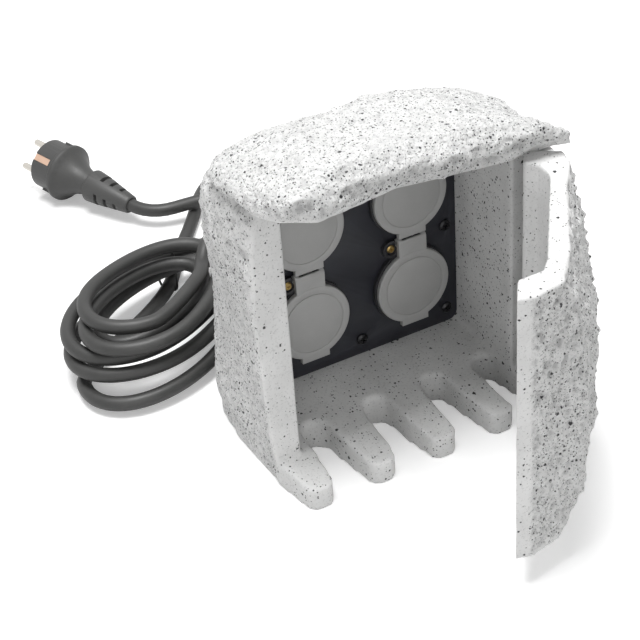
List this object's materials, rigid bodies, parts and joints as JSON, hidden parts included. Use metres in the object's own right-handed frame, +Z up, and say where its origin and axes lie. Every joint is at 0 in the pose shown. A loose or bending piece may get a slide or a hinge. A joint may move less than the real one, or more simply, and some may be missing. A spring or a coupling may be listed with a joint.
{
  "type": "garden socket",
  "caption": "garden power outlet cast as a granite boulder: sheltered sockets with sprung round lids, hinged hollow rock door, comb of cable slots, coiled lead with earthed plug",
  "frame": {"origin": "ground plane, below the middle of the four lids' outer faces", "axes": "+X to the right along the socket panel, +Y away from the viewer, +Z up"},
  "size_m": [0.2556, 0.5507, 0.203],
  "materials": {
    "granite_resin": "matt, cast, speckled",
    "hinge_steel": "satin",
    "washer_nylon": "satin",
    "insert_black": "satin",
    "contact_brass": "bright",
    "lid_grey": "satin, fine grain",
    "seal_rubber": "matt",
    "spring_steel": "bright",
    "screw_brass": "satin",
    "panel_black": "satin, fine grain",
    "screw_dark": "black oxide",
    "hatch_black": "matt",
    "terminal_cream": "gloss",
    "core_brown": "satin",
    "core_blue": "satin",
    "core_green_yellow": "satin, two colours",
    "gland_black": "satin",
    "cable_rubber": "satin",
    "tie_black": "satin",
    "plug_rubber": "satin",
    "pin_nickel": "polished",
    "earth_copper": "bright"
  },
  "bodies": {
    "base": {"rock_body": "granite_resin", "hinge_pin_lower": "hinge_steel", "hinge_pin_upper": "hinge_steel", "hinge_washer": "washer_nylon", "socket_insert_left_lower": "insert_black", "contact_bushes_left_lower": "contact_brass", "earth_clips_left_lower": "contact_brass", "lid_spring_left_lower": "spring_steel", "socket_insert_right_lower": "insert_black", "contact_bushes_right_lower": "contact_brass", "earth_clips_right_lower": "contact_brass", "lid_spring_right_lower": "spring_steel", "socket_insert_left_upper": "insert_black", "contact_bushes_left_upper": "contact_brass", "earth_clips_left_upper": "contact_brass", "lid_spring_left_upper": "spring_steel", "socket_insert_right_upper": "insert_black", "contact_bushes_right_upper": "contact_brass", "earth_clips_right_upper": "contact_brass", "lid_spring_right_upper": "spring_steel", "insert_screws": "screw_brass", "socket_panel": "panel_black", "panel_gasket": "seal_rubber", "gland_seal": "seal_rubber", "panel_screws": "screw_dark", "hatch_plate": "hatch_black", "hatch_screws": "hinge_steel", "terminal_block": "terminal_cream", "core_brown": "core_brown", "core_blue": "core_blue", "core_green_yellow": "core_green_yellow", "gland_body": "gland_black", "gland_nut": "gland_black", "gland_dome_nut": "gland_black", "bend_protector": "cable_rubber", "cable_end": "cable_rubber", "cord_lead": "cable_rubber", "cord_coil": "cable_rubber", "cord_tail": "cable_rubber", "cable_tie": "tie_black", "plug_body": "plug_rubber", "plug_strain_relief": "plug_rubber", "plug_pins": "pin_nickel", "plug_earth_contacts": "earth_copper"},
    "door": {"rock_door": "granite_resin"},
    "lid_left_lower": {"lid_left_lower": "lid_grey", "lid_seal_left_lower": "seal_rubber", "lid_pin_left_lower": "spring_steel"},
    "lid_right_lower": {"lid_right_lower": "lid_grey", "lid_seal_right_lower": "seal_rubber", "lid_pin_right_lower": "spring_steel"},
    "lid_left_upper": {"lid_left_upper": "lid_grey", "lid_seal_left_upper": "seal_rubber", "lid_pin_left_upper": "spring_steel"},
    "lid_right_upper": {"lid_right_upper": "lid_grey", "lid_seal_right_upper": "seal_rubber", "lid_pin_right_upper": "spring_steel"}
  },
  "joints": [
    {"name": "door_hinge", "type": "hinge", "parent": "base", "child": "door", "pos_m": [0.0782, -0.057, 0.098], "axis": [0, 0, 1], "range_deg": [-53.5, 34]},
    {"name": "lid_hinge_left_lower", "type": "hinge", "parent": "base", "child": "lid_left_lower", "pos_m": [-0.034, 0.003, 0.0932], "axis": [-1, 0, 0], "range_deg": [0, 90], "stiffness_Nm_per_rad": 0.006, "springref_deg": -28.65},
    {"name": "lid_hinge_right_lower", "type": "hinge", "parent": "base", "child": "lid_right_lower", "pos_m": [0.034, 0.003, 0.0932], "axis": [-1, 0, 0], "range_deg": [0, 90], "stiffness_Nm_per_rad": 0.006, "springref_deg": -28.65},
    {"name": "lid_hinge_left_upper", "type": "hinge", "parent": "base", "child": "lid_left_upper", "pos_m": [-0.034, 0.003, 0.1537], "axis": [-1, 0, 0], "range_deg": [0, 90], "stiffness_Nm_per_rad": 0.006, "springref_deg": -28.65},
    {"name": "lid_hinge_right_upper", "type": "hinge", "parent": "base", "child": "lid_right_upper", "pos_m": [0.034, 0.003, 0.1537], "axis": [-1, 0, 0], "range_deg": [0, 90], "stiffness_Nm_per_rad": 0.006, "springref_deg": -28.65}
  ]
}
